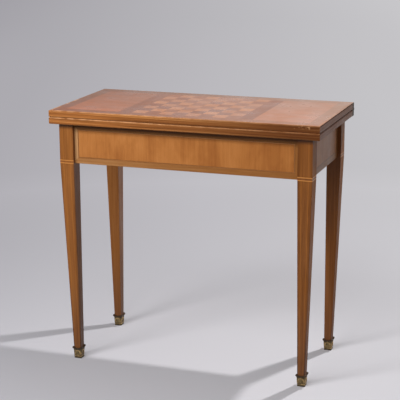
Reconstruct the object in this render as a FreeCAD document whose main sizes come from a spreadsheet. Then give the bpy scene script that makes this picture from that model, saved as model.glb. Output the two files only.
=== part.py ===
import FreeCAD, Part
import os
import re
import Sketcher
from FreeCAD import Placement, Rotation, Vector

# Folding games table: a four-legged frame with a storage well, and a top of two hinged leaves that turns
# a quarter turn on a pivot and then opens to a square. The upper leaf carries the inlaid chessboard.
# Millimetres, +Z up, origin on the floor under the middle of the closed top, front of the table at -Y.

# Driving sizes: name, value, meaning.
SIZES = [
    ("table_width", 790, "closed top from side to side"),
    ("table_depth", 395, "closed top from front edge to the back of the hinge barrels"),
    ("table_height", 752, "floor to playing board"),
    ("leaf_thickness", 19.6, "each leaf of the top"),
    ("leaf_gap", 0.4, "between the closed leaves"),
    ("swivel_clearance", 0.4, "between the lower leaf and the frame"),
    ("fold_clearance", 0.15, "rear edge of a leaf to the fold axis"),
    ("overhang_side", 23, "top edge to leg face at the sides"),
    ("overhang_front", 17, "top edge to leg face at the front"),
    ("leg_block", 42, "square of the leg beside the rails"),
    ("leg_foot", 22.4, "square of the leg at the top of its foot cup"),
    ("foot_lean", 2, "inner faces of a leg from block to foot cup"),
    ("rail_height", 115, "apron rails"),
    ("rail_thickness", 20, "apron rails"),
    ("rail_setback", 11, "leg face to rail face"),
    ("tenon_thickness", 10, "rail tenons"),
    ("tenon_shoulder", 12, "rail edge to tenon edge"),
    ("mortise_wall", 1, "wood between the two mortises of a leg"),
    ("glue_line", 0.1, "clearance round glued joints"),
    ("band_height", 10.5, "light band on the legs"),
    ("inlay_depth", 1, "bands and stringing let into the frame"),
    ("stringing_width", 2.4, "line let into the rails"),
    ("stringing_end", 10.5, "rail end to stringing"),
    ("stringing_edge", 17, "rail edge to stringing"),
    ("sabot_height", 36, "brass foot cups"),
    ("sabot_floor", 4, "solid floor of a foot cup"),
    ("sabot_toe", 17.2, "square of the leg on the floor of its cup"),
    ("sabot_wall", 1.8, "wall of a foot cup"),
    ("rim_height", 10, "flared rim of a foot cup"),
    ("rim_lip", 2.9, "rim beyond the leg face"),
    ("scallop_depth", 5, "dip in the middle of each side of the rim"),
    ("plinth_height", 3, "base moulding of a foot cup"),
    ("plinth_step", 0.6, "base moulding beyond the cup"),
    ("nail_square", 1.4, "cut nails of the foot cups"),
    ("nail_length", 6, "nails of the foot cups"),
    ("nail_height", 16, "nails above the floor"),
    ("bearer_thickness", 22, "cross bearer under the pivot"),
    ("bearer_housing", 8, "bearer ends let into the rails"),
    ("slot_radius", 45, "curved stop slot about the pivot"),
    ("slot_wall", 8, "bearer wood outside the slot"),
    ("peg_radius", 5, "stop peg"),
    ("peg_length", 16, "stop peg below the leaf"),
    ("peg_seat", 10, "stop peg inside the leaf"),
    ("stop_clearance", 0.3, "stop peg in its slot"),
    ("groove_depth", 5, "well boards let into the rails"),
    ("partition_thickness", 10, "end board of the well"),
    ("board_thickness", 6, "floor board of the well"),
    ("well_depth", 66, "frame top to well floor"),
    ("block_leg", 50, "corner block along each rail"),
    ("block_margin", 8, "rail bottom to corner block"),
    ("pivot_plate", 44, "square plate of the pivot"),
    ("pivot_plate_thickness", 3, "square plate of the pivot"),
    ("pivot_screw_inset", 8, "edge of the pivot plate to its screws"),
    ("stud_radius", 6, "pivot stud"),
    ("stud_end", 3, "stud below its nut"),
    ("running_clearance", 0.05, "radial clearance of turning fits"),
    ("washer_square", 28, "pivot washer"),
    ("washer_thickness", 2.5, "pivot washer"),
    ("nut_radius", 11, "pivot nut over its corners"),
    ("nut_height", 10, "pivot nut"),
    ("lipping_width", 8, "solid edge of the leaves"),
    ("edge_round", 3, "eased edges of the leaves"),
    ("veneer_thickness", 1, "veneers and baize"),
    ("border_band", 30.7, "banding round the top"),
    ("dark_band", 40, "dark band beside the chessboard"),
    ("playing_border", 45, "veneer round the baize"),
    ("barrel_radius", 4, "hinge barrels"),
    ("barrel_length", 10, "hinge barrels"),
    ("barrel_gap", 0.3, "between hinge barrels"),
    ("barrel_relief", 0.4, "room round the barrels in wood and plates"),
    ("pin_radius", 1.8, "hinge pins"),
    ("plate_thickness", 2.2, "hinge plates"),
    ("plate_end", 19, "hinge plate along the end of a leaf"),
    ("plate_rear", 45, "hinge plate along the rear edge of a leaf"),
    ("plate_margin", 1, "leaf face to hinge plate"),
    ("screw_radius", 2, "wood screws"),
    ("pivot_screw_length", 14, "screws of the pivot plate"),
    ("hinge_screw_length", 7.5, "screws of the hinge plates"),
    ("screw_inset", 6, "plate end to first screw"),
    ("screw_pitch", 11, "between the screws of a plate"),
]
SQUARES_PER_SIDE = 8
PLATE_SCREWS = 2

# Derived heights and places, as formulas over the driving sizes.
HALF_WIDTH = "(table_width / 2)"
FRONT_Y = "(-table_depth / 2)"
HINGE_Y = "(table_depth / 2 - barrel_radius)"
LEAF_REAR = f"({HINGE_Y} - fold_clearance)"
LOWER_Z = "(table_height - 2 * leaf_thickness - leaf_gap)"
UPPER_Z = "(table_height - leaf_thickness)"
FOLD_Z = "(table_height - leaf_thickness - leaf_gap / 2)"
FRAME_TOP = f"({LOWER_Z} - swivel_clearance)"
RAIL_BOTTOM = f"({FRAME_TOP} - rail_height)"
LEG_X = "(table_width / 2 - overhang_side - leg_block)"
LEG_Y = "(table_depth / 2 - overhang_front - leg_block)"
FOOT_X = f"({LEG_X} + foot_lean + leg_foot / 2)"
FOOT_Y = f"({LEG_Y} + foot_lean + leg_foot / 2)"
RAIL_IN_X = "(table_width / 2 - overhang_side - rail_setback - rail_thickness)"
RAIL_IN_Y = "(table_depth / 2 - overhang_front - rail_setback - rail_thickness)"
TENON_LENGTH = "(leg_block - rail_setback - (rail_thickness + tenon_thickness) / 2 - mortise_wall)"
PIVOT = f"({HINGE_Y} / 2)"
PEG = f"({PIVOT} - slot_radius * sqrt(0.5))"
BEARER_HALF = "(slot_radius * sqrt(0.5) + peg_radius + stop_clearance + slot_wall)"
BEARER_LEFT = f"({PIVOT} - {BEARER_HALF})"
BEARER_BOTTOM = f"({FRAME_TOP} - bearer_thickness)"
WELL_TOP = f"({FRAME_TOP} - well_depth)"
WELL_BOTTOM = f"({WELL_TOP} - board_thickness)"
FIELD_X = f"({HALF_WIDTH} - lipping_width)"
FIELD_FRONT = f"({FRONT_Y} + lipping_width)"
FIELD_REAR = f"({LEAF_REAR} - lipping_width)"
SQUARE = f"(({FIELD_REAR} - {FIELD_FRONT} - 2 * border_band) / {SQUARES_PER_SIDE})"
BOARD_HALF = f"({SQUARE} * {SQUARES_PER_SIDE} / 2)"
BOARD_FRONT = f"({FIELD_FRONT} + border_band)"
BOARD_REAR = f"({FIELD_REAR} - border_band)"
VENEER_Z = "(table_height - veneer_thickness)"
NECK_Z = "(sabot_height - rim_height)"
NECK_SHARE = f"(({NECK_Z} - sabot_floor) / (sabot_height - sabot_floor))"
NECK = f"(sabot_toe + (leg_foot - sabot_toe) * {NECK_SHARE} + 2 * sabot_wall)"
RIM = "(leg_foot + 2 * rim_lip)"
PIN_END = f"({HALF_WIDTH} - 2 * barrel_length - barrel_gap)"
BARREL_SPLIT = f"({HALF_WIDTH} - barrel_length)"

# Corners of the frame: name, side along X, side along Y, turn about Z of what sits there.
CORNERS = [
    ("front_left", -1, -1, 0),
    ("front_right", 1, -1, 90),
    ("rear_right", 1, 1, 180),
    ("rear_left", -1, 1, 270),
]
SIDES = [("left", -1), ("right", 1)]
WAYS = {
    "+x": Rotation(Vector(0, 1, 0), 90),
    "+y": Rotation(Vector(1, 0, 0), -90),
    "-y": Rotation(Vector(1, 0, 0), 90),
    "+z": Rotation(),
}

DOC = FreeCAD.newDocument("games_table")
SHEET = DOC.addObject("Spreadsheet::Sheet", "Sizes")
SIZE_NAME = re.compile(r"\b(" + "|".join(name for name, _, _ in SIZES) + r")\b")
PIECES = {}


def fill_sheet():
    for row, (name, number, meaning) in enumerate(SIZES, 1):
        SHEET.set(f"A{row}", meaning)
        SHEET.set(f"B{row}", str(number))
        SHEET.setAlias(f"B{row}", name)
    DOC.recompute()


def on_sheet(formula):
    """The formula with each size name pointing at its cell."""
    return SIZE_NAME.sub(r"Sizes.\1", formula)


def value(formula):
    return float(SHEET.evalExpression(on_sheet(formula)))


def bind(thing, formulas):
    """Ties properties to formulas over the driving sizes."""
    for name, formula in formulas.items():
        thing.setExpression(name, on_sheet(formula))


def piece(label, thing):
    """Names a finished piece of the table."""
    thing.Label = label
    PIECES[label] = thing
    return thing


def place(thing, turn, x, y, z="0"):
    """Turns a thing about Z and ties its place to formulas."""
    thing.Placement = Placement(Vector(), Rotation(Vector(0, 0, 1), turn))
    bind(thing, {"Placement.Base.x": x, "Placement.Base.y": y, "Placement.Base.z": z})


def span(side, near, far):
    """The range from near to far on the right side, or its mirror image on the left."""
    if side > 0:
        return near, far
    return f"-({far})", f"-({near})"


def box(xs, ys, zs):
    """A block between two formulas along each axis."""
    block = DOC.addObject("Part::Box", "Block")
    for axis, size, (low, high) in zip("xyz", ("Length", "Width", "Height"), (xs, ys, zs)):
        bind(block, {f"Placement.Base.{axis}": low, size: f"({high}) - ({low})"})
    return block


def taper(low, low_z, high, high_z):
    """A block with straight sides between two level rectangles, each given by two opposite corners."""
    block = DOC.addObject("Part::Wedge", "Taper")
    block.Placement = Placement(Vector(), Rotation(Vector(1, 0, 0), 90))
    for mark, (x_low, y_low, x_high, y_high) in (("", low), ("2", high)):
        bind(block, {f"X{mark}min": x_low, f"X{mark}max": x_high})
        bind(block, {f"Z{mark}min": f"-({y_high})", f"Z{mark}max": f"-({y_low})"})
    bind(block, {"Ymin": low_z, "Ymax": high_z})
    return block


def centred(size, centre="0"):
    """Opposite corners of a square about a point of the diagonal."""
    low = f"({centre}) - ({size}) / 2"
    high = f"({centre}) + ({size}) / 2"
    return low, low, high, high


def point_at(thing, way, spot):
    """Lays a round thing along one way from a spot given as three formulas."""
    thing.Placement = Placement(Vector(), WAYS[way])
    bind(thing, {f"Placement.Base.{axis}": formula for axis, formula in zip("xyz", spot)})


def rod(way, spot, length, radius):
    """A cylinder along one way from its starting spot."""
    bar = DOC.addObject("Part::Cylinder", "Rod")
    bind(bar, {"Radius": radius, "Height": length})
    point_at(bar, way, spot)
    return bar


def fuse(things):
    whole = DOC.addObject("Part::MultiFuse", "Joined")
    whole.Shapes = things
    whole.Refine = True
    return whole


def group(things):
    """Separate solids kept together as one piece of the list."""
    whole = DOC.addObject("Part::Compound", "Group")
    whole.Links = things
    return whole


def cut(base, *tools):
    for tool in tools:
        rest = DOC.addObject("Part::Cut", "Cut")
        rest.Base = base
        rest.Tool = tool
        base = rest
    return base


def rect(x_low, y_low, x_high, y_high):
    return [(x_low, y_low), (x_high, y_low), (x_high, y_high), (x_low, y_high)]


def new_body():
    return DOC.addObject("PartDesign::Body", "Body")


def sketch(body, plane, loops, offset):
    """Closed outlines of straight lines, with both coordinates of each corner tied to formulas."""
    drawing = body.newObject("Sketcher::SketchObject", "Outline")
    support = next(feature for feature in body.Origin.OriginFeatures if feature.Role == plane)
    drawing.AttachmentSupport = [(support, "")]
    drawing.MapMode = "FlatFace"
    bind(drawing, {"AttachmentOffset.Base.z": offset})
    for corners in loops:
        first = drawing.GeometryCount
        spots = [Vector(value(x), value(y), 0) for x, y in corners]
        for start, end in zip(spots, spots[1:] + spots[:1]):
            drawing.addGeometry(Part.LineSegment(start, end))
        for step, corner in enumerate(corners):
            line = first + step
            before = first + (step - 1) % len(corners)
            drawing.addConstraint(Sketcher.Constraint("Coincident", before, 2, line, 1))
            for kind, formula in zip(("DistanceX", "DistanceY"), corner):
                rule = Sketcher.Constraint(kind, -1, 1, line, 1, value(formula))
                bind(drawing, {f"Constraints[{drawing.addConstraint(rule)}]": formula})
    return drawing


def extrude(body, kind, plane, loops, length, offset="0", back=False):
    """A pad along the normal of its plane or a pocket against it, or the other way when back is set."""
    feature = body.newObject(f"PartDesign::{kind}", kind)
    feature.Profile = sketch(body, plane, loops, offset)
    feature.Reversed = back
    bind(feature, {"Length": length})
    return feature


def slab(corners, low, thickness):
    """A flat board with straight sides."""
    body = new_body()
    extrude(body, "Pad", "XY_Plane", [corners], thickness, low)
    return body


def mitred_frame(x_low, y_low, x_high, y_high, width):
    """Outlines of four strips with mitred ends, each starting with its two outer corners."""
    outer = rect(x_low, y_low, x_high, y_high)
    inner = rect(f"{x_low} + {width}", f"{y_low} + {width}", f"{x_high} - {width}", f"{y_high} - {width}")
    return [[outer[i], outer[(i + 1) % 4], inner[(i + 1) % 4], inner[i]] for i in range(4)]


# Frame

def leg(corner, side_x, side_y, turn, nail):
    """A leg that tapers below the apron, mostly on its two outer faces."""
    block = ("-leg_block", "-leg_block", "0", "0")
    foot = centred("leg_foot", "-leg_foot / 2 - foot_lean")
    toe = centred("sabot_toe", "-leg_foot / 2 - foot_lean")
    stick = fuse([
        taper(block, RAIL_BOTTOM, block, FRAME_TOP),
        taper(foot, "sabot_height", block, RAIL_BOTTOM),
        taper(toe, "sabot_floor + glue_line", foot, "sabot_height"),
    ])
    middle = "(rail_setback + rail_thickness / 2 - leg_block)"
    half = "(tenon_thickness / 2 + glue_line)"
    width = (f"{middle} - {half}", f"{middle} + {half}")
    depth = (f"-({TENON_LENGTH} + glue_line)", "0")
    height = (f"{RAIL_BOTTOM} + tenon_shoulder - glue_line", f"{FRAME_TOP} - tenon_shoulder + glue_line")
    mortises = [box(depth, width, height), box(width, depth, height)]
    body = cut(stick, *mortises, *band_strips(RAIL_BOTTOM))
    place(body, turn, f"{side_x} * {LEG_X}", f"{side_y} * {LEG_Y}")
    piece(f"{corner}_leg", cut(body, nail))


def band_strips(low):
    """The two light strips of a leg, along its outer faces."""
    face = ("-leg_block", "inlay_depth - leg_block")
    height = (low, f"{low} + band_height")
    return [box(("-leg_block", "0"), face, height), box(face, ("inlay_depth - leg_block", "0"), height)]


def leg_band(corner, side_x, side_y, turn):
    strips = group(band_strips(RAIL_BOTTOM))
    place(strips, turn, f"{side_x} * {LEG_X}", f"{side_y} * {LEG_Y}")
    piece(f"{corner}_leg_band", strips)


def sabot_nail(side_x, side_y):
    """A cut nail through the inner side of a foot cup into the toe of the leg."""
    face = f"({FOOT_X} - {NECK} / 2)"
    middle = f"{side_y} * {FOOT_Y}"
    ys = (f"{middle} - nail_square / 2", f"{middle} + nail_square / 2")
    zs = ("nail_height - nail_square / 2", "nail_height + nail_square / 2")
    return box(span(side_x, face, f"{face} + nail_length"), ys, zs)


def sabot(corner, side_x, side_y, nail):
    """A square brass cup that swells to a flared rim, with a dip in the middle of each side of the rim."""
    base = "(sabot_toe + 2 * sabot_wall)"
    plinth = centred(f"{base} + 2 * plinth_step")
    solid = fuse([
        taper(plinth, "0", plinth, "plinth_height"),
        taper(centred(base), "plinth_height", centred(NECK), NECK_Z),
        taper(centred(NECK), NECK_Z, centred(RIM), "sabot_height"),
    ])
    toe = centred("sabot_toe + 2 * glue_line")
    hollow = taper(toe, "sabot_floor", centred("leg_foot + 2 * glue_line"), "sabot_height")
    curve = f"(({RIM} * {RIM} / 4 + scallop_depth * scallop_depth) / (2 * scallop_depth))"
    height = f"sabot_height - scallop_depth + {curve}"
    dips = [
        rod("+x", (f"-{RIM}", "0", height), f"2 * {RIM}", curve),
        rod("+y", ("0", f"-{RIM}", height), f"2 * {RIM}", curve),
    ]
    cup = cut(solid, hollow, *dips)
    place(cup, 0, f"{side_x} * {FOOT_X}", f"{side_y} * {FOOT_Y}")
    piece(f"{corner}_sabot", cut(cup, nail))


def legs_and_feet():
    nails = []
    for corner, side_x, side_y, turn in CORNERS:
        nail = sabot_nail(side_x, side_y)
        leg(corner, side_x, side_y, turn, nail)
        leg_band(corner, side_x, side_y, turn)
        sabot(corner, side_x, side_y, nail)
        nails.append(nail)
    piece("sabot_nails", group(nails))


def string_frame(length, inset):
    """Rectangle on the face of a rail, inset from the outer line of its stringing."""
    end = f"({length} / 2 - stringing_end - {inset})"
    return rect(f"-{end}", f"stringing_edge + {inset}", end, f"rail_height - stringing_edge - {inset}")


def rail(name, length, turn, x, y, housings):
    """An apron rail with a tenon at each end, a groove for its stringing and housings in its inner face."""
    body = new_body()
    end = f"({length} / 2)"
    tongue = f"({end} + {TENON_LENGTH})"
    plank = rect(f"-{end}", "0", end, "rail_height")
    tenon = rect(f"-{tongue}", "tenon_shoulder", tongue, "rail_height - tenon_shoulder")
    extrude(body, "Pad", "XZ_Plane", [plank], "rail_thickness", "rail_thickness / 2", back=True)
    extrude(body, "Pad", "XZ_Plane", [tenon], "tenon_thickness", "tenon_thickness / 2", back=True)
    groove = [string_frame(length, "0"), string_frame(length, "stringing_width")]
    extrude(body, "Pocket", "XZ_Plane", groove, "inlay_depth", "rail_thickness / 2")
    for outline, depth in housings:
        extrude(body, "Pocket", "XZ_Plane", [outline], depth, "-rail_thickness / 2", back=True)
    place(body, turn, x, y, RAIL_BOTTOM)
    piece(f"{name}_rail", body)


def stringing(name, length, turn, x, y):
    """Four strips that fill the groove of a rail."""
    face = ("-rail_thickness / 2", "inlay_depth - rail_thickness / 2")
    end = f"({length} / 2 - stringing_end)"
    low = "stringing_edge"
    high = "rail_height - stringing_edge"
    strips = [
        box((f"-{end}", end), face, (low, f"{low} + stringing_width")),
        box((f"-{end}", end), face, (f"{high} - stringing_width", high)),
    ]
    for side in (-1, 1):
        xs = span(side, f"{end} - stringing_width", end)
        strips.append(box(xs, face, (f"{low} + stringing_width", f"{high} - stringing_width")))
    lines = group(strips)
    place(lines, turn, x, y, RAIL_BOTTOM)
    piece(f"{name}_rail_stringing", lines)


def long_rail_housings(side):
    """Housings of the bearer, the partition and the well floor; side is -1 in the turned rear rail."""
    def outline(near, far, low, high):
        x_low, x_high = span(side, near, far)
        return rect(x_low, low, x_high, high)
    floor_low = f"{WELL_BOTTOM} - {RAIL_BOTTOM}"
    floor_high = f"{WELL_TOP} - {RAIL_BOTTOM}"
    bearer = outline(BEARER_LEFT, f"{PIVOT} + {BEARER_HALF}", "rail_height - bearer_thickness", "rail_height")
    partition = outline(f"{BEARER_LEFT} - partition_thickness", BEARER_LEFT, floor_high, "rail_height")
    board = outline(f"-{LEG_X}", BEARER_LEFT, floor_low, floor_high)
    return [(bearer, "bearer_housing"), (partition, "groove_depth"), (board, "groove_depth")]


def rails():
    long = f"(2 * {LEG_X})"
    short = f"(2 * {LEG_Y})"
    y = f"({RAIL_IN_Y} + rail_thickness / 2)"
    x = f"({RAIL_IN_X} + rail_thickness / 2)"
    board = rect(f"-{LEG_Y}", f"{WELL_BOTTOM} - {RAIL_BOTTOM}", LEG_Y, f"{WELL_TOP} - {RAIL_BOTTOM}")
    layout = [
        ("front", long, 0, "0", f"-{y}", long_rail_housings(1)),
        ("rear", long, 180, "0", y, long_rail_housings(-1)),
        ("left", short, 270, f"-{x}", "0", [(board, "groove_depth")]),
        ("right", short, 90, x, "0", []),
    ]
    for name, length, turn, at_x, at_y, housings in layout:
        rail(name, length, turn, at_x, at_y, housings)
        stringing(name, length, turn, at_x, at_y)


def bearer():
    """The cross bearer, with the bore of the pivot and the curved slot of the stop peg."""
    reach = f"({RAIL_IN_Y} + bearer_housing)"
    plank = box((BEARER_LEFT, f"{PIVOT} + {BEARER_HALF}"), (f"-{reach}", reach), (BEARER_BOTTOM, FRAME_TOP))
    bore = rod("+z", (PIVOT, PIVOT, BEARER_BOTTOM), "bearer_thickness", "stud_radius + running_clearance")
    half = "(peg_radius + stop_clearance)"
    sector = rod("+z", (PIVOT, PIVOT, BEARER_BOTTOM), "bearer_thickness", f"slot_radius + {half}")
    sector.Angle = 90
    place(sector, -135, PIVOT, PIVOT, BEARER_BOTTOM)
    core = rod("+z", (PIVOT, PIVOT, BEARER_BOTTOM), "bearer_thickness", f"slot_radius - {half}")
    far = f"({PIVOT} + slot_radius * sqrt(0.5))"
    ends = [rod("+z", (x, PEG, BEARER_BOTTOM), "bearer_thickness", half) for x in (PEG, far)]
    slot = fuse([cut(sector, core), *ends])
    piece("pivot_bearer", cut(plank, bore, slot))


def well():
    """Partition and floor board of the storage well under the left half of the top."""
    reach = f"({RAIL_IN_Y} + groove_depth)"
    thickness = (f"{BEARER_LEFT} - partition_thickness", BEARER_LEFT)
    piece("well_partition", box(thickness, (f"-{reach}", reach), (WELL_TOP, FRAME_TOP)))
    end = f"-({RAIL_IN_X} + groove_depth)"
    notch_x = f"-{LEG_X}"
    notch_y = LEG_Y
    outline = [
        (BEARER_LEFT, f"-{reach}"), (BEARER_LEFT, reach), (notch_x, reach), (notch_x, notch_y),
        (end, notch_y), (end, f"-{notch_y}"), (notch_x, f"-{notch_y}"), (notch_x, f"-{reach}"),
    ]
    piece("well_floor", slab(outline, WELL_BOTTOM, "board_thickness"))


def corner_blocks():
    """Blocks glued into the corners of the rails, round the leg and under the level of the well floor."""
    inner = "(leg_block - rail_setback - rail_thickness)"
    outline = [(inner, "0"), ("block_leg", "0"), ("0", "block_leg"), ("0", inner), (inner, inner)]
    low = f"({RAIL_BOTTOM} + block_margin)"
    for corner, side_x, side_y, turn in CORNERS:
        block = slab(outline, low, f"{WELL_BOTTOM} - {low}")
        place(block, turn, f"{side_x} * {RAIL_IN_X}", f"{side_y} * {RAIL_IN_Y}")
        piece(f"{corner}_corner_block", block)


# Top

def pivot():
    """The turning pivot of the top: stud on a plate let into the lower leaf, its screws, washer and nut."""
    def square(size, low, high):
        sides = (f"{PIVOT} - {size} / 2", f"{PIVOT} + {size} / 2")
        return box(sides, sides, (low, high))

    plate = square("pivot_plate", LOWER_Z, f"{LOWER_Z} + pivot_plate_thickness")
    washer_z = f"({BEARER_BOTTOM} - washer_thickness)"
    nut_z = f"({washer_z} - nut_height)"
    stud_z = f"({nut_z} - stud_end)"
    stud = rod("+z", (PIVOT, PIVOT, stud_z), f"{LOWER_Z} - {stud_z}", "stud_radius")
    offset = "(pivot_plate / 2 - pivot_screw_inset)"
    rows = (f"{PIVOT} - {offset}", f"{PIVOT} + {offset}")
    spots = [(x, y, LOWER_Z) for x in rows for y in rows]
    screws = group([rod("+z", spot, "pivot_screw_length", "screw_radius") for spot in spots])
    piece("pivot_screws", screws)
    piece("pivot_stud", cut(fuse([plate, stud]), screws))
    piece("pivot_washer", cut(square("washer_square", washer_z, BEARER_BOTTOM), stud))
    nut = DOC.addObject("Part::Prism", "Nut")
    bind(nut, {"Circumradius": "nut_radius", "Height": "nut_height"})
    point_at(nut, "+z", (PIVOT, PIVOT, nut_z))
    piece("pivot_nut", cut(nut, stud))
    return plate, screws


def hinge_half(leaf, name, side, zs, barrel_near, relief, bore_radius):
    """A hinge plate let into the end and rear edge of a leaf, with its barrel; returns seat and screws."""
    end_xs = span(side, f"{HALF_WIDTH} - plate_thickness", HALF_WIDTH)
    rear_xs = span(side, f"{HALF_WIDTH} - plate_rear", HALF_WIDTH)
    end = box(end_xs, (f"{LEAF_REAR} - plate_end", LEAF_REAR), zs)
    rear = box(rear_xs, (f"{LEAF_REAR} - plate_thickness", LEAF_REAR), zs)
    seat = fuse([end, rear])
    barrel = hinge_rod(side, barrel_near, f"{barrel_near} + barrel_length", "barrel_radius")
    gap = hinge_rod(side, *relief, "barrel_radius + barrel_relief")
    bore = hinge_rod(side, PIN_END, HALF_WIDTH, bore_radius)
    screws = []
    for step in range(PLATE_SCREWS):
        x = f"{side} * ({HALF_WIDTH} - plate_rear + screw_inset + {step} * screw_pitch)"
        spot = (x, LEAF_REAR, f"({zs[0]} + {zs[1]}) / 2")
        screws.append(rod("-y", spot, "hinge_screw_length", "screw_radius"))
    piece(f"{leaf}_{name}_hinge", cut(fuse([seat, barrel]), gap, bore, *screws))
    return seat, screws


def hinge_rod(side, near, far, radius):
    """A rod on the fold axis between two distances from the middle of the table."""
    start, _ = span(side, near, far)
    return rod("+x", (start, HINGE_Y, FOLD_Z), f"({far}) - ({near})", radius)


def hinges(leaf, zs, barrel_near, relief, bore_radius):
    """Both hinge halves of a leaf; returns what has to be cut out of its lipping, and its screws."""
    room = []
    screws = []
    for name, side in SIDES:
        seat, pair = hinge_half(leaf, name, side, zs, barrel_near, relief, bore_radius)
        ends = (f"{PIN_END} - barrel_gap", f"{HALF_WIDTH} + barrel_gap")
        room += [seat, hinge_rod(side, *ends, "barrel_radius + barrel_relief")]
        screws += pair
    screws = piece(f"{leaf}_hinge_screws", group(screws))
    return room, screws


def hinge_pins():
    for name, side in SIDES:
        piece(f"{name}_hinge_pin", hinge_rod(side, PIN_END, HALF_WIDTH, "pin_radius"))


def lipping(leaf, low, rear_edge_z, room):
    """Solid strips round a leaf, mitred at the corners and eased along their outer edges."""
    strips = []
    outlines = mitred_frame(f"-{HALF_WIDTH}", FRONT_Y, HALF_WIDTH, LEAF_REAR, "lipping_width")
    for order, corners in enumerate(outlines):
        body = new_body()
        board = extrude(body, "Pad", "XY_Plane", [corners], "leaf_thickness", low)
        DOC.recompute()
        is_rear = order == 2
        middle = [(value(a) + value(b)) / 2 for a, b in zip(*corners[:2])]
        edges = []
        for number, edge in enumerate(board.Shape.Edges, 1):
            centre = edge.CenterOfMass
            outer = abs(centre.x - middle[0]) + abs(centre.y - middle[1]) < 0.01
            kept_square = is_rear and abs(centre.z - value(rear_edge_z)) > 0.01
            if outer and not kept_square:
                edges.append(f"Edge{number}")
        ease = body.newObject("PartDesign::Fillet", "Ease")
        ease.Base = (board, edges)
        bind(ease, {"Radius": "edge_round"})
        strips.append(body)
    piece(f"{leaf}_lipping", cut(group(strips), *room))


def playing_face(leaf, low):
    """Baize up to the fold, with a veneer border along the three other edges of the inner face."""
    field = ("-" + FIELD_X, FIELD_FRONT, FIELD_X, FIELD_REAR)
    front, right, _, left = mitred_frame(*field, "playing_border")
    right[2] = (f"{FIELD_X} - playing_border", FIELD_REAR)
    left[3] = (f"playing_border - {FIELD_X}", FIELD_REAR)
    strips = [slab(corners, low, "veneer_thickness") for corners in (front, right, left)]
    piece(f"{leaf}_playing_border", group(strips))
    edge = f"({FIELD_X} - playing_border)"
    depth = (f"{FIELD_FRONT} + playing_border", FIELD_REAR)
    piece(f"{leaf}_baize", box((f"-{edge}", edge), depth, (low, f"{low} + veneer_thickness")))


def leaf_core(low, high):
    return box((f"-{FIELD_X}", FIELD_X), (FIELD_FRONT, FIELD_REAR), (low, high))


def lower_leaf():
    pivot_plate, pivot_screws = pivot()
    top = f"({LOWER_Z} + leaf_thickness)"
    plate = (f"{LOWER_Z} + plate_margin", top)
    relief = (f"{PIN_END} - barrel_gap", BARREL_SPLIT)
    room, screws = hinges("lower_leaf", plate, BARREL_SPLIT, relief, "pin_radius")
    peg = rod("+z", (PEG, PEG, f"{LOWER_Z} - peg_length"), "peg_length + peg_seat", "peg_radius")
    core = leaf_core(LOWER_Z, f"{top} - veneer_thickness")
    piece("stop_peg", peg)
    piece("lower_leaf_core", cut(core, pivot_plate, pivot_screws, peg, screws))
    lipping("lower_leaf", LOWER_Z, LOWER_Z, [*room, screws])
    playing_face("lower_leaf", f"({top} - veneer_thickness)")
    hinge_pins()


def upper_leaf():
    plate = (UPPER_Z, "table_height - plate_margin")
    relief = (f"{BARREL_SPLIT} - barrel_gap", f"{HALF_WIDTH} + barrel_gap")
    bore = "pin_radius + running_clearance"
    room, screws = hinges("upper_leaf", plate, PIN_END, relief, bore)
    core = leaf_core(f"{UPPER_Z} + veneer_thickness", VENEER_Z)
    piece("upper_leaf_core", cut(core, screws))
    lipping("upper_leaf", UPPER_Z, "table_height", [*room, screws])
    playing_face("upper_leaf", UPPER_Z)


def inlaid_top():
    """Veneers of the upper leaf: banding all round, panels and dark bands, and the board in the middle."""
    outlines = mitred_frame(f"-{FIELD_X}", FIELD_FRONT, FIELD_X, FIELD_REAR, "border_band")
    piece("border_banding", group([slab(corners, VENEER_Z, "veneer_thickness") for corners in outlines]))
    depth = (BOARD_FRONT, BOARD_REAR)
    height = (VENEER_Z, "table_height")
    for name, side in SIDES:
        split = f"({BOARD_HALF} + dark_band)"
        panel = span(side, split, f"{FIELD_X} - border_band")
        piece(f"{name}_veneer_panel", box(panel, depth, height))
        piece(f"{name}_dark_band", box(span(side, BOARD_HALF, split), depth, height))
    squares = {"light": [], "dark": []}
    for row in range(SQUARES_PER_SIDE):
        for column in range(SQUARES_PER_SIDE):
            colour = "dark" if (row + column) % 2 else "light"
            x = f"({column} * {SQUARE} - {BOARD_HALF})"
            y = f"({row} * {SQUARE} + {BOARD_FRONT})"
            squares[colour].append(box((x, f"{x} + {SQUARE}"), (y, f"{y} + {SQUARE}"), height))
    for colour, tiles in squares.items():
        piece(f"{colour}_squares", group(tiles))


def check_and_export():
    """Stops on any failed object or shape, then writes each piece to its own file."""
    DOC.recompute()
    for thing in DOC.Objects:
        if {"Invalid", "Error"} & set(thing.State):
            raise RuntimeError(f"{thing.Label}: {thing.State}")
    for label, thing in PIECES.items():
        if thing.Shape.isNull() or not thing.Shape.isValid() or not thing.Shape.Solids:
            raise RuntimeError(f"{label} has no valid solid")
    os.makedirs("parts", exist_ok=True)
    for label, thing in PIECES.items():
        thing.Shape.exportStep(f"parts/{label}.step")
        print(f"{label}: {len(thing.Shape.Solids)} solids, {thing.Shape.Volume / 1000:.2f} cm3")


fill_sheet()
legs_and_feet()
rails()
bearer()
well()
corner_blocks()
lower_leaf()
upper_leaf()
inlaid_top()
check_and_export()
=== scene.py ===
import math

import bmesh
import bpy
from mathutils import Matrix, Vector


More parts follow.
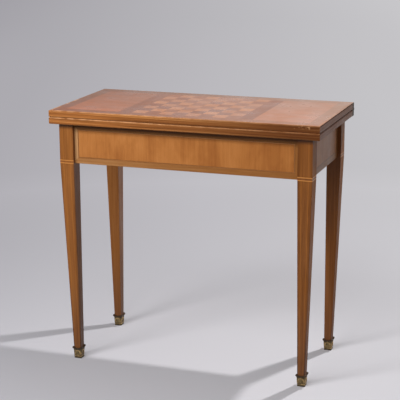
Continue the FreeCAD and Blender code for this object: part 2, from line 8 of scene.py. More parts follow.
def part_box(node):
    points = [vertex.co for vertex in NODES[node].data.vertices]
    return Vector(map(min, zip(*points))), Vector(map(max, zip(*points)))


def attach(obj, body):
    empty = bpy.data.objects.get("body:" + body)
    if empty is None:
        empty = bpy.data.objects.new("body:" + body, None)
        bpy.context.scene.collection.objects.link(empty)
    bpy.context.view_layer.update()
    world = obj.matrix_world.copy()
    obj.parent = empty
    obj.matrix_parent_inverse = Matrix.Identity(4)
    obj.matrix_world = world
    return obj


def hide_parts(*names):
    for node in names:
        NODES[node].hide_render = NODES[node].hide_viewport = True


# Looks of a folding games table: finishes for every solid of the frame, relief on the brass foot cups,
# slotted heads on the hinge screws, baize on the playing faces, and the studio around the table.
# Metres, +Z up, front of the table at -Y.

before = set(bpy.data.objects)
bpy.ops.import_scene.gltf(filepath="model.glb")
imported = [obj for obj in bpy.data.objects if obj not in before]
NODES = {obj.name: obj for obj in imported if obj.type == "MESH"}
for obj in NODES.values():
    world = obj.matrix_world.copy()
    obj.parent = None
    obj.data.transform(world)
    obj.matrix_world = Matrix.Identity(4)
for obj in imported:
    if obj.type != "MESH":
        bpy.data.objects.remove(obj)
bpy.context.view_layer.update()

CORNERS = ("front_left", "front_right", "rear_right", "rear_left")
SIDES = ("left", "right")
LEAVES = ("lower_leaf", "upper_leaf")
RAIL_AXES = {"front": "x", "rear": "x", "left": "y", "right": "y"}

# Places read from the frame
LEG_LOW, LEG_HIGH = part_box("front_right_leg")
LEG_INNER = {"x": LEG_LOW.x, "y": -LEG_HIGH.y}
LEG_BLOCK = LEG_HIGH.x - LEG_LOW.x
BAND_LOW, BAND_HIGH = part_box("front_right_leg_band")
SABOT_TOP_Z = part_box("front_right_sabot")[1].z
RAIL_LOW, RAIL_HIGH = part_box("front_rail")
TOP_LOW, TOP_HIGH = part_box("upper_leaf_lipping")
LEAF_LOW_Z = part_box("lower_leaf_lipping")[0].z
LEAF_PITCH = TOP_LOW.z - LEAF_LOW_Z
BOARD_LOW, BOARD_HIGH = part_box("light_squares")
SQUARES_PER_SIDE = 8
SQUARE = (BOARD_HIGH.x - BOARD_LOW.x) / SQUARES_PER_SIDE


def srgb(red, green, blue):
    """Linear colour of screen values from 0 to 255."""
    def linear(level):
        level /= 255
        return level / 12.92 if level <= 0.04045 else ((level + 0.055) / 1.055) ** 2.4
    return (linear(red), linear(green), linear(blue), 1.0)


def stain(red, green, blue, strength=1.0):
    """A colour, and the share by which it covers the colour under it."""
    return srgb(red, green, blue), strength


class Shader:
    """The nodes of a material or of the world, added step by step."""

    # Places of factor, first and second value among the inputs of a mix node, and place of its result
    MIX_SOCKETS = {"FLOAT": ((0, 2, 3), 0), "RGBA": ((0, 6, 7), 2)}

    def __init__(self, owner, coordinates):
        owner.use_nodes = True
        self.owner = owner
        self.tree = owner.node_tree
        self.tree.nodes.clear()
        self.coords = self.add("ShaderNodeTexCoord")
        self.point = self.coords.outputs[coordinates]
        self.axis = self.parts(self.point)

    def add(self, kind, **settings):
        node = self.tree.nodes.new(kind)
        for name, setting in settings.items():
            setattr(node, name, setting)
        return node

    def feed(self, socket, value):
        if isinstance(value, bpy.types.NodeSocket):
            self.tree.links.new(value, socket)
        else:
            socket.default_value = value

    def parts(self, vector):
        """The three parts of a vector, by axis."""
        node = self.add("ShaderNodeSeparateXYZ")
        self.feed(node.inputs[0], vector)
        return dict(zip("xyz", node.outputs))

    def facing(self, axis):
        """How squarely the surface faces along an axis, from 0 to 1, on either side."""
        return self.math("ABSOLUTE", self.parts(self.coords.outputs["Normal"])[axis])

    def math(self, operation, *values):
        node = self.add("ShaderNodeMath", operation=operation)
        for socket, value in zip(node.inputs, values):
            self.feed(socket, value)
        return node.outputs[0]

    def times(self, first, *others):
        """Product of some values."""
        product = first
        for value in others:
            product = self.math("MULTIPLY", product, value)
        return product

    def linear(self, value, slope, start):
        """Start plus slope times a value."""
        return self.math("MULTIPLY_ADD", value, slope, start)

    def away(self, value, centre):
        """How far a value is from a centre, on either side."""
        return self.math("ABSOLUTE", self.math("SUBTRACT", value, centre))

    def opposite(self, share):
        """1 where a share is 0, and 0 where it is 1."""
        return self.math("SUBTRACT", 1.0, share)

    def above(self, value, limit):
        """1 where a value is over a limit, else 0."""
        return self.math("GREATER_THAN", value, limit)

    def below(self, value, limit):
        """1 where a value is under a limit, else 0."""
        return self.math("LESS_THAN", value, limit)

    def near(self, value, centre, half):
        """1 where a value lies within half of a centre, else 0."""
        return self.math("COMPARE", value, centre, half)

    def spread(self, value, low, high):
        """Value stretched from low..high to 0..1 and held there."""
        node = self.add("ShaderNodeMapRange", clamp=True)
        for name, number in (("Value", value), ("From Min", low), ("From Max", high)):
            self.feed(node.inputs[name], number)
        return node.outputs["Result"]

    def noise(self, rates, detail=3.0, roughness=0.55, distortion=0.0):
        """Noise with its own rate along each axis, in cycles per metre."""
        mapping = self.add("ShaderNodeMapping")
        self.feed(mapping.inputs["Vector"], self.point)
        mapping.inputs["Scale"].default_value = rates
        node = self.add("ShaderNodeTexNoise")
        self.feed(node.inputs["Vector"], mapping.outputs[0])
        node.inputs["Scale"].default_value = 1.0
        node.inputs["Detail"].default_value = detail
        node.inputs["Roughness"].default_value = roughness
        node.inputs["Distortion"].default_value = distortion
        return node.outputs["Fac"]

    def ramp(self, value, colours):
        """Colours spaced evenly along a value from 0 to 1."""
        node = self.add("ShaderNodeValToRGB")
        self.feed(node.inputs[0], value)
        stops = node.color_ramp.elements
        while len(stops) < len(colours):
            stops.new(0.5)
        for order, colour in enumerate(colours):
            stops[order].position = order / (len(colours) - 1)
            stops[order].color = colour
        return node.outputs[0]

    def blend(self, kind, values, **settings):
        """A mix node of one kind, fed with a factor and two values."""
        places, result = self.MIX_SOCKETS[kind]
        node = self.add("ShaderNodeMix", data_type=kind, **settings)
        for place, value in zip(places, values):
            self.feed(node.inputs[place], value)
        return node.outputs[result]

    def mix(self, factor, first, second, how="MIX"):
        """First colour where the factor is 0 and second where it is 1."""
        return self.blend("RGBA", (factor, first, second), blend_type=how)

    def choose(self, factor, first, second):
        """First number where the factor is 0 and second where it is 1."""
        return self.blend("FLOAT", (factor, first, second))

    def stained(self, colour, cover, *masks):
        """Colour covered by a stain, as far as all masks let it."""
        target, strength = cover
        return self.mix(self.times(*masks, strength), colour, target)

    def finish(self, colour, roughness, height, depth, others):
        """Closes a material with a bumped surface; others are more of the surface's sockets, by name."""
        surface = self.add("ShaderNodeBsdfPrincipled")
        for name, value in {"Base Color": colour, "Roughness": roughness, **others}.items():
            self.feed(surface.inputs[name], value)
        bump = self.add("ShaderNodeBump")
        bump.inputs["Strength"].default_value = 1.0
        bump.inputs["Distance"].default_value = depth
        self.feed(bump.inputs["Height"], height)
        self.feed(surface.inputs["Normal"], bump.outputs[0])
        out = self.add("ShaderNodeOutputMaterial")
        self.feed(out.inputs["Surface"], surface.outputs[0])
        return self.owner


def material_shader(name):
    """Nodes of a new material, in the frame's own coordinates."""
    return Shader(bpy.data.materials.new(name), "Object")


# Wood

# How squarely a surface lies to an axis to count as facing it, and to count as the upper side of the top
FACE = 0.7
UPPER_FACE = 0.8
# Half the width of the lines where veneers meet
JOINT_HALF = 0.00022
PORE_COLOUR = (0.02, 0.01, 0.005, 1.0)
# Roughness that pores and clouded polish add
PORE_DULLNESS = 0.08
CLOUD_DULLNESS = 0.14
INNER_COLOURS = [srgb(146, 108, 68), srgb(178, 138, 92), srgb(200, 162, 114)]


def stretched(along, across_rate, along_rate):
    """Noise rates of a grain that runs along one axis."""
    return tuple(along_rate if axis == along else across_rate for axis in "xyz")


def grain(shader, along, rate):
    """Tone and pores of a grain along one axis: broad figure, streaks, fibres and short dark pores."""
    figure = shader.noise(stretched(along, 22 * rate, 1.2 * rate), detail=2.0, distortion=0.5)
    streak = shader.noise(stretched(along, 150 * rate, 3.0 * rate), roughness=0.6)
    fibre = shader.noise(stretched(along, 480 * rate, 9 * rate), detail=2.0)
    pore = shader.noise(stretched(along, 1300, 40), detail=1.0)
    tone = 0.0
    for layer, share in ((figure, 0.38), (streak, 0.37), (fibre, 0.25)):
        tone = shader.linear(shader.spread(layer, low=0.3, high=0.7), share, tone)
    return tone, shader.spread(pore, low=0.60, high=0.74)


def polish(shader, colour, pores, roughness=0.34, gloss=0.5, pore_shade=0.16, relief=0.00008):
    """Polished wood: pores darken and dull the surface a little, and wear clouds its shine.

    Roughness is that of the clearest polish, gloss how strongly it mirrors, pore_shade how dark its pores
    are and relief how deep.
    """
    wear = shader.noise((14, 14, 14), detail=4.0, roughness=0.6)
    colour = shader.mix(shader.times(pores, pore_shade), colour, PORE_COLOUR)
    clouded = shader.linear(shader.spread(wear, low=0.35, high=0.7), CLOUD_DULLNESS, roughness)
    dulled = shader.linear(pores, PORE_DULLNESS, clouded)
    height = shader.times(pores, -1.0)
    return shader.finish(colour, dulled, height, relief, {"Specular IOR Level": gloss})


def inner_wood(along):
    """Plain sawn boards inside the table."""
    shader = material_shader(f"inner_wood_{along}")
    tone, pores = grain(shader, along, rate=0.8)
    return polish(shader, shader.ramp(tone, INNER_COLOURS), pores, roughness=0.55)


# Legs and rails

# Width of a leg at its foot, and how far its inner faces lean
LEG_FOOT = 0.0224
LEG_LEAN = 0.002
# Pale lines and darker edges on a leg, in shares of its width from the edge
LEG_LINE_PLACE = 0.26
LEG_LINE_HALF = 0.035
LEG_EDGE_WIDTH = 0.10
# Heights between which the lines gain their strength below the rails, and their strength beside the rails
LEG_LINE_SPAN = (RAIL_LOW.z + 0.012, RAIL_LOW.z - 0.02)
LEG_LINE_LEAST = 0.45
# Heights between which a leg grows dull towards its foot
LEG_FOOT_SPAN = (0.26, 0.03)
LEG_ROUGHNESS = 0.34
LEG_SIDE_ROUGHNESS = 0.52
# How much darker than the front left leg each leg is: partly the wood's own tone, partly painted shade for
# light falling off towards the right
LEG_TONE_AND_SHADE = {"front_left": 0.0, "front_right": 0.33, "rear_right": 0.28, "rear_left": -0.05}
LEG_COLOURS = [srgb(114, 63, 14), srgb(150, 92, 40), srgb(174, 114, 56)]
LEG_LINE = stain(188, 118, 48, 0.36)
LEG_EDGE = stain(64, 34, 8, 0.22)
# Painted shade on the inner faces of a leg
LEG_INNER_SHADE = stain(64, 34, 14, 0.30)
LEG_DULL_FOOT = stain(92, 60, 44, 0.45)
LEG_FOOT_EDGE = stain(50, 36, 30, 0.65)
BAND_COLOURS = [srgb(112, 64, 26), srgb(146, 88, 38), srgb(170, 106, 48)]
BAND_LINE = stain(204, 136, 68)
BAND_LINE_WIDTH = 0.0024
STRINGING_WIDTH = 0.0024
STRINGING_CORE_HALF = 0.0005
STRINGING_COLOURS = [srgb(66, 34, 10), srgb(98, 54, 20)]
STRINGING_CORE = stain(186, 120, 56)
RAIL_CLOUD_SHARE = 0.5
RAIL_COLOURS = [srgb(151, 88, 41), srgb(184, 118, 61), srgb(204, 137, 77)]
RAIL_MARGIN_COLOURS = [srgb(127, 78, 37), srgb(158, 105, 57), srgb(188, 137, 88)]
# Painted light on the strip beside the left end, against the leg's shadow
RAIL_LEFT_STRIP_LIGHT = stain(228, 180, 130, 0.45)
# Painted shade that darkens the rails towards the right, and where it starts
RAIL_RIGHT_SHADE = stain(132, 74, 16, 0.22)
RAIL_SHADE_START_X = -0.15
RAIL_GLOSS = {"front": 0.18, "rear": 0.18, "left": 0.18, "right": 0.5}
# Painted shade under the top, and how far down it reaches
UNDER_TOP_SHADE = stain(50, 24, 5, 0.9)
RAIL_SHADE_DEPTH = 0.028
LEG_SHADE_DEPTH = 0.016


def shaded_under_top(shader, colour, depth, outside):
    """Painted shade darkens the outside of the frame just under the top."""
    share = shader.spread(shader.axis["z"], RAIL_HIGH.z - depth, RAIL_HIGH.z - depth / 4)
    upright = shader.below(shader.facing("z"), FACE)
    return shader.stained(colour, UNDER_TOP_SHADE, share, outside, upright)


def leg_share(shader, axis):
    """Place across a leg from 0 at its inner face to 1 at its outer face, following the taper."""
    height = shader.spread(shader.axis["z"], SABOT_TOP_Z, RAIL_LOW.z)
    width = shader.linear(height, LEG_BLOCK - LEG_FOOT, LEG_FOOT)
    start = shader.linear(height, -LEG_LEAN, LEG_INNER[axis] + LEG_LEAN)
    offset = shader.math("SUBTRACT", shader.math("ABSOLUTE", shader.axis[axis]), start)
    return shader.math("DIVIDE", offset, width)


def leg_wood(corner):
    """Upright grain with a pale line inside both edges of the outer faces, and dull towards the foot.

    The inner faces at left and right are darkened with painted shade, and the outer ones there less shiny.
    """
    shader = material_shader(f"{corner}_leg_wood")
    tone, pores = grain(shader, "z", rate=1.3)
    # Own tone of each leg together with painted shade
    tone = shader.math("SUBTRACT", tone, LEG_TONE_AND_SHADE[corner])
    shares = {axis: leg_share(shader, axis) for axis in "xy"}
    on_face = {axis: shader.above(shader.facing(axis), FACE) for axis in "xy"}
    outside = {axis: shader.above(shares[axis], 0.5) for axis in "xy"}
    on_outside = {axis: shader.times(on_face[axis], outside[axis]) for axis in "xy"}
    lines, edges = 0.0, 0.0
    for across, normal in (("x", "y"), ("y", "x")):
        folded = shader.away(shares[across], 0.5)
        line = shader.near(folded, 0.5 - LEG_LINE_PLACE, LEG_LINE_HALF)
        edge = shader.above(folded, 0.5 - LEG_EDGE_WIDTH)
        lines = shader.math("MAXIMUM", lines, shader.times(on_outside[normal], line))
        edges = shader.math("MAXIMUM", edges, shader.times(on_outside[normal], edge))
    shaded_inner_face = shader.math("SUBTRACT", on_face["x"], on_outside["x"])
    strength = shader.spread(shader.axis["z"], *LEG_LINE_SPAN)
    strength = shader.linear(strength, 1.0 - LEG_LINE_LEAST, LEG_LINE_LEAST)
    near_foot = shader.spread(shader.axis["z"], *LEG_FOOT_SPAN)
    colour = shader.stained(shader.ramp(tone, LEG_COLOURS), LEG_LINE, lines, strength)
    colour = shader.stained(colour, LEG_EDGE, edges, strength)
    # Painted shade on the inner faces
    colour = shader.stained(colour, LEG_INNER_SHADE, shaded_inner_face)
    colour = shader.stained(colour, LEG_DULL_FOOT, near_foot)
    colour = shader.stained(colour, LEG_FOOT_EDGE, edges, near_foot)
    # Painted shade just under the top
    colour = shaded_under_top(shader, colour, LEG_SHADE_DEPTH, shader.math("MAXIMUM", outside["x"], outside["y"]))
    roughness = shader.choose(on_outside["x"], LEG_ROUGHNESS, LEG_SIDE_ROUGHNESS)
    return polish(shader, colour, pores, roughness=roughness, gloss=0.34)


def band_wood(corner):
    """Band the colour of the leg between two pale lines."""
    shader = material_shader(f"{corner}_leg_band_wood")
    tone, pores = grain(shader, "z", rate=2.5)
    # Own tone of each leg together with painted shade
    tone = shader.math("SUBTRACT", tone, LEG_TONE_AND_SHADE[corner])
    folded = shader.away(shader.axis["z"], (BAND_LOW.z + BAND_HIGH.z) / 2)
    line = shader.above(folded, (BAND_HIGH.z - BAND_LOW.z) / 2 - BAND_LINE_WIDTH)
    colour = shader.stained(shader.ramp(tone, BAND_COLOURS), BAND_LINE, line)
    return polish(shader, colour, pores, gloss=0.4)


def string_offset(shader, side):
    """Distance outwards from the line of a rail's stringing, negative inside it, and 1 beside its ends."""
    axis = RAIL_AXES[side]
    low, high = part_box(f"{side}_rail_stringing")
    reach = getattr(high, axis) - STRINGING_WIDTH / 2
    half_height = (high.z - low.z - STRINGING_WIDTH) / 2
    along = shader.math("SUBTRACT", shader.math("ABSOLUTE", shader.axis[axis]), reach)
    up = shader.math("SUBTRACT", shader.away(shader.axis["z"], (low.z + high.z) / 2), half_height)
    return shader.math("MAXIMUM", along, up), shader.above(along, up)


def outer_half(shader, side):
    """1 in the outer half of a rail's thickness, else 0."""
    across = "y" if RAIL_AXES[side] == "x" else "x"
    low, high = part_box(f"{side}_rail")
    middle = abs(getattr(low, across) + getattr(high, across)) / 2
    return shader.above(shader.math("ABSOLUTE", shader.axis[across]), middle)


def rail_wood(side):
    """Upright veneer inside the stringing and a long-grained margin outside it.

    Painted light brightens the strip beside the left end against the leg's shadow, and painted shade makes
    the wood more brown towards the right.
    """
    shader = material_shader(f"{side}_rail_wood")
    offset, beside_end = string_offset(shader, side)
    upright, upright_pores = grain(shader, "z", rate=1.2)
    level, level_pores = grain(shader, RAIL_AXES[side], rate=1.4)
    margin = shader.above(offset, 0.0)
    lying = shader.times(margin, shader.opposite(beside_end))
    tone = shader.choose(lying, upright, level)
    pores = shader.choose(lying, upright_pores, level_pores)
    cloud = shader.noise((16, 16, 7), roughness=0.6, distortion=0.6)
    mottled = shader.choose(RAIL_CLOUD_SHARE, tone, shader.spread(cloud, low=0.32, high=0.68))
    colour = shader.mix(margin, shader.ramp(mottled, RAIL_COLOURS), shader.ramp(tone, RAIL_MARGIN_COLOURS))
    at_left = shader.below(shader.axis["x"], 0.0)
    # Painted light on the strip beside the left end
    colour = shader.stained(colour, RAIL_LEFT_STRIP_LIGHT, margin, beside_end, at_left)
    # Painted shade towards the right
    shaded_right = shader.spread(shader.axis["x"], RAIL_SHADE_START_X, RAIL_HIGH.x)
    colour = shader.stained(colour, RAIL_RIGHT_SHADE, shaded_right)
    # Painted shade just under the top
    colour = shaded_under_top(shader, colour, RAIL_SHADE_DEPTH, outer_half(shader, side))
    return polish(shader, colour, pores, gloss=RAIL_GLOSS[side])


def stringing_wood(side):
    """A pale line between two dark ones."""
    shader = material_shader(f"{side}_rail_stringing_wood")
    offset, _ = string_offset(shader, side)
    core = shader.near(offset, 0.0, STRINGING_CORE_HALF)
    tone, pores = grain(shader, RAIL_AXES[side], rate=2.0)
    colour = shader.stained(shader.ramp(tone, STRINGING_COLOURS), STRINGING_CORE, core)
    return polish(shader, colour, pores)


# Top

TOP_ROUGHNESS = 0.26
# Paler colour towards the right end of the top, from fading and painted sheen
FADE_AND_SHEEN = stain(214, 164, 124, 0.20)
BORDER_COLOURS = [srgb(108, 62, 30), srgb(128, 76, 38), srgb(142, 90, 50)]
BORDER_JOINT = stain(60, 36, 20)
# Filter that warms the border towards the front, how strongly, and where it starts
BORDER_FILTER = (1.18, 0.85, 0.38, 1.0)
BORDER_WARMTH = 0.9
BORDER_WARM_START_Y = 0.08
LIPPING_ROUGHNESS = 0.42
LIPPING_END_ROUGHNESS = 0.95
LIPPING_STREAK_SHARE = 0.75
LIPPING_COLOURS = [srgb(114, 65, 25), srgb(175, 109, 54), srgb(215, 150, 87)]
# More brown towards the right with age and painted shade, and where it runs
LIPPING_AGE_AND_SHADE = stain(74, 31, 0, 0.80)
LIPPING_AGE_AND_SHADE_REACH = (-0.24, 0.32)
LIPPING_JOINT = stain(50, 28, 12)
LIPPING_END_FACE = 0.35
# At the ends of the leaves painted sheen greys the lipping, lighter below than above, and painted shade
# darkens the upper arrises
LIPPING_END_SHEEN_COLOURS = [srgb(156, 123, 107), srgb(134, 94, 74)]
LIPPING_END_SHEEN_COVER = 0.60
LIPPING_END_LINES = stain(70, 44, 32, 0.6)
LIPPING_END_ARRIS_SHADE = stain(56, 30, 18)
LIPPING_END_DULLNESS = 0.85
# Shares of a leaf's height over which its lower edge is darkened with painted shade and its upper edge is
# rubbed pale under a painted highlight
LIPPING_JOINT_SHADE_SPAN = (0.26, 0.06)
# Painted shade along the lower edge of each leaf
LIPPING_JOINT_SHADE = stain(44, 20, 4, 0.25)
LIPPING_ARRIS_SPAN = (0.78, 0.90)
# Pale colour of rubbed arrises, which also stands for a painted highlight
LIPPING_RUBBED_HIGHLIGHT = stain(220, 164, 116)
# How far the arrises are rubbed pale with a painted highlight at the left, what of it the fading highlight
# loses at the right, and what is missing on the upper leaf
RUB_AND_HIGHLIGHT_LEFT = 0.85
RUB_AND_HIGHLIGHT_LOSS_RIGHT = 0.55
RUB_AND_HIGHLIGHT_LOSS_UPPER = 0.32
# Chips at the right end of the upper leaf's front edge, and the places between which they begin
LIPPING_CHIPPED = stain(190, 140, 96)
CHIPS_X = (0.318, 0.330)
CHIPS_Z = (TOP_LOW.z + 0.008, TOP_LOW.z + 0.012)
SQUARE_TONE_SPAN = 0.5
LIGHT_REAR = [srgb(150, 87, 46), srgb(167, 102, 58), srgb(182, 116, 70)]
LIGHT_FRONT = [srgb(168, 98, 50), srgb(187, 115, 64), srgb(204, 133, 80)]
DARK_REAR = [srgb(126, 62, 23), srgb(144, 76, 31), srgb(158, 90, 43)]
DARK_FRONT = [srgb(119, 57, 20), srgb(137, 71, 28), srgb(151, 85, 40)]
SQUARE_JOINT = stain(70, 40, 24, 0.6)
PANEL_COLOURS = [srgb(125, 71, 36), srgb(154, 88, 45), srgb(182, 102, 55)]
PANEL_RIPPLE_SHARE = 0.35
# How much brighter the panels are at the front, between which places, and what share of the figure is left
PANEL_FRONT_LIFT = 0.45
PANEL_FRONT_REACH = (0.16, -0.16)
PANEL_FIGURE_SHARE = 0.75
DARK_BAND_COLOURS = [srgb(126, 68, 29), srgb(152, 86, 40)]


def polish_top(shader, colour, pores):
    """The smoother, filled polish of the top."""
    return polish(shader, colour, pores, roughness=TOP_ROUGHNESS, pore_shade=0.07, relief=0.00001)


def fade_and_sheen(shader, colour):
    """The top is paler towards its right end, from fading together with painted sheen."""
    return shader.stained(colour, FADE_AND_SHEEN, shader.spread(shader.axis["x"], -TOP_HIGH.x, TOP_HIGH.x))


def border_colour(shader, tone):
    """Colour of the border and of the lipping round it, paler towards the right from fading and painted
    sheen, and warmer towards the front.
    """
    front = shader.spread(shader.axis["y"], BORDER_WARM_START_Y, TOP_LOW.y)
    colour = fade_and_sheen(shader, shader.ramp(tone, BORDER_COLOURS))
    return shader.mix(shader.times(front, BORDER_WARMTH), colour, BORDER_FILTER, how="MULTIPLY")


def mitred_sides(shader):
    """1 on the strips along the ends of the top, 0 on those along front and rear, and the mitre lines."""
    from_end = shader.math("SUBTRACT", TOP_HIGH.x, shader.math("ABSOLUTE", shader.axis["x"]))
    across = shader.away(shader.axis["y"], (TOP_LOW.y + TOP_HIGH.y) / 2)
    from_side = shader.math("SUBTRACT", (TOP_HIGH.y - TOP_LOW.y) / 2, across)
    lead = shader.math("SUBTRACT", from_side, from_end)
    return shader.above(lead, 0.0), shader.near(lead, 0.0, JOINT_HALF)


def framed_grain(shader, end_along, side_along, rate):
    """Tone, pores and mitre lines of four strips, with one grain at the ends and one at front and rear."""
    ends, joints = mitred_sides(shader)
    end_tone, end_pores = grain(shader, end_along, rate)
    side_tone, side_pores = grain(shader, side_along, rate)
    tone = shader.choose(ends, side_tone, end_tone)
    return tone, shader.choose(ends, side_pores, end_pores), joints


def border_wood():
    """Cross-grained border, mitred at its corners."""
    shader = material_shader("border_wood")
    tone, pores, joints = framed_grain(shader, end_along="x", side_along="y", rate=1.5)
    return polish_top(shader, shader.stained(border_colour(shader, tone), BORDER_JOINT, joints), pores)


def leaf_rise(shader):
    """Place up the edge of either leaf, from 0 at its underside to 1 at its upper side."""
    height = shader.math("SUBTRACT", shader.axis["z"], LEAF_LOW_Z)
    return shader.math("FRACT", shader.math("DIVIDE", height, LEAF_PITCH))


def lipping_end_sheen_colour(shader, rise, streaks):
    """Colour of the lipping at the ends of the leaves, greyed with painted sheen and lighter below than
    above as the light falls, with dark lines along it.
    """
    colour = shader.ramp(rise, LIPPING_END_SHEEN_COLOURS)
    return shader.stained(colour, LIPPING_END_LINES, shader.spread(streaks, low=0.50, high=0.58))


def rubbing_and_highlight(shader, aged):
    """How far the arrises are rubbed and carry a painted highlight: in patches, less towards the right
    where the highlight fades, and less on the upper leaf.
    """
    patches = shader.spread(shader.noise((30, 30, 4)), low=0.32, high=0.56)
    across = shader.linear(aged, -RUB_AND_HIGHLIGHT_LOSS_RIGHT, RUB_AND_HIGHLIGHT_LEFT)
    on_upper = shader.above(shader.axis["z"], TOP_LOW.z)
    return shader.times(patches, across, shader.linear(on_upper, -RUB_AND_HIGHLIGHT_LOSS_UPPER, 1.0))


def chipping(shader):
    """Small chips near the right end of the upper leaf's upper edge."""
    spots = shader.spread(shader.noise((190, 190, 300), detail=1.0), low=0.635, high=0.70)
    right = shader.spread(shader.axis["x"], *CHIPS_X)
    return shader.times(spots, right, shader.spread(shader.axis["z"], *CHIPS_Z))


def lipping_wood():
    """Streaky lipping: more brown towards the right with age and painted shade, darkened with painted shade
    in the joint, and rubbed pale on its arrises under a painted highlight.
    """
    shader = material_shader("lipping_wood")
    tone, pores, joints = framed_grain(shader, end_along="y", side_along="x", rate=1.6)
    streaks = shader.noise((2.2, 2.2, 260), roughness=0.65)
    tone = shader.choose(LIPPING_STREAK_SHARE, tone, shader.spread(streaks, low=0.34, high=0.66))
    rise = leaf_rise(shader)
    aged = shader.spread(shader.axis["x"], *LIPPING_AGE_AND_SHADE_REACH)
    arris = shader.spread(rise, *LIPPING_ARRIS_SPAN)
    joint_shade = shader.spread(rise, *LIPPING_JOINT_SHADE_SPAN)
    upper = shader.above(shader.facing("z"), UPPER_FACE)
    at_end = shader.above(shader.facing("x"), LIPPING_END_FACE)
    at_side = shader.opposite(at_end)
    at_front = shader.times(shader.below(shader.axis["y"], 0.0), at_side)
    dull_shaded_end = shader.times(arris, at_end, shader.opposite(upper), LIPPING_END_DULLNESS)
    # Age and painted shade towards the right
    colour = shader.stained(shader.ramp(tone, LIPPING_COLOURS), LIPPING_AGE_AND_SHADE, aged)
    # Painted sheen on the ends of the leaves
    end_sheen_colour = lipping_end_sheen_colour(shader, rise, streaks)
    colour = shader.mix(shader.times(at_end, LIPPING_END_SHEEN_COVER), colour, end_sheen_colour)
    # Painted shade along the lower edge of each leaf
    colour = shader.stained(colour, LIPPING_JOINT_SHADE, joint_shade, at_side)
    colour = shader.mix(upper, colour, border_colour(shader, tone))
    colour = shader.stained(colour, LIPPING_JOINT, joints)
    # Worn polish and painted highlight on the front arrises
    colour = shader.stained(colour, LIPPING_RUBBED_HIGHLIGHT, arris, rubbing_and_highlight(shader, aged), at_front)
    # Painted shade on the upper arrises at the ends
    colour = shader.stained(colour, LIPPING_END_ARRIS_SHADE, dull_shaded_end)
    colour = shader.stained(colour, LIPPING_CHIPPED, chipping(shader), at_front)
    roughness = shader.choose(upper, LIPPING_ROUGHNESS, TOP_ROUGHNESS)
    roughness = shader.choose(dull_shaded_end, roughness, LIPPING_END_ROUGHNESS)
    return polish(shader, colour, pores, roughness=roughness, gloss=0.22)


def square_wood(name, rear_colours, front_colours):
    """Squares of the board, each with its own tone and with its grain laid one way or the other.

    Their colours pass from those of the rear to those of the front.
    """
    shader = material_shader(name)
    cells = []
    for axis, low in (("x", BOARD_LOW.x), ("y", BOARD_LOW.y)):
        cells.append(shader.math("DIVIDE", shader.math("SUBTRACT", shader.axis[axis], low), SQUARE))
    index = shader.add("ShaderNodeCombineXYZ")
    edge = 0.0
    for socket, cell in zip(index.inputs, cells):
        shader.feed(socket, shader.math("FLOOR", cell))
        folded = shader.away(shader.math("FRACT", cell), 0.5)
        edge = shader.math("MAXIMUM", edge, shader.above(folded, 0.5 - JOINT_HALF / SQUARE))
    draw = shader.add("ShaderNodeTexWhiteNoise", noise_dimensions="3D")
    shader.feed(draw.inputs["Vector"], index.outputs[0])
    drawn = draw.outputs["Value"]
    turned = shader.above(drawn, 0.5)
    x_tone, x_pores = grain(shader, "x", rate=1.6)
    y_tone, y_pores = grain(shader, "y", rate=1.6)
    shift = shader.linear(drawn, SQUARE_TONE_SPAN, -SQUARE_TONE_SPAN / 2)
    tone = shader.math("ADD", shader.choose(turned, x_tone, y_tone), shift)
    pores = shader.choose(turned, x_pores, y_pores)
    front = shader.spread(shader.axis["y"], BOARD_HIGH.y, BOARD_LOW.y)
    colour = shader.mix(front, shader.ramp(tone, rear_colours), shader.ramp(tone, front_colours))
    colour = shader.stained(colour, SQUARE_JOINT, edge)
    # Paler towards the right from fading and painted sheen
    return polish_top(shader, fade_and_sheen(shader, colour), pores)


def panel_wood():
    """Reddish figured veneer of the two side panels, brighter towards the front."""
    shader = material_shader("panel_wood")
    tone, pores = grain(shader, "x", rate=1.5)
    ripple = shader.spread(shader.noise((12, 40, 9), distortion=0.8), low=0.3, high=0.7)
    tone = shader.linear(ripple, PANEL_RIPPLE_SHARE, shader.times(tone, 1.0 - PANEL_RIPPLE_SHARE))
    front = shader.spread(shader.axis["y"], *PANEL_FRONT_REACH)
    tone = shader.linear(front, PANEL_FRONT_LIFT, shader.times(tone, PANEL_FIGURE_SHARE))
    # Paler towards the right from fading and painted sheen
    return polish_top(shader, fade_and_sheen(shader, shader.ramp(tone, PANEL_COLOURS)), pores)


def dark_band_wood():
    """Dark bands at the two sides of the board."""
    shader = material_shader("dark_band_wood")
    tone, pores = grain(shader, "y", rate=1.3)
    return polish_top(shader, shader.ramp(tone, DARK_BAND_COLOURS), pores)


# Metal and cloth

# Bright and tarnished colour of each metal
CUP_BRASS = (srgb(156, 134, 92), srgb(80, 66, 42))
WORN_BRASS = (srgb(218, 184, 128), srgb(128, 102, 64))
DARK_BRASS = (srgb(84, 64, 46), srgb(48, 35, 25))
HINGE_BRASS = (srgb(116, 96, 60), srgb(80, 62, 38))
STEEL = (srgb(150, 148, 144), srgb(92, 86, 80))
SOILED_STEEL = (srgb(66, 58, 50), srgb(38, 32, 26))
# Heights at which dirt lies in the foot cups, each with half its width; the last is the whole rim
CUP_GROOVES = [(0.0014, 0.0014), (0.0044, 0.0007), (0.0090, 0.0007), (0.0262, 0.0012), (0.0330, 0.0050)]
# Dark colour of the soil in the grooves and of the painted shade on the sides
CUP_DIRT_AND_SHADE = stain(36, 27, 20)
# Painted shade on the left and right sides of the cups
CUP_SIDE_SHADE = 0.5
CUP_GROOVE_DIRT = 0.75
HINGE_END_DARKENING = stain(46, 42, 42, 0.75)
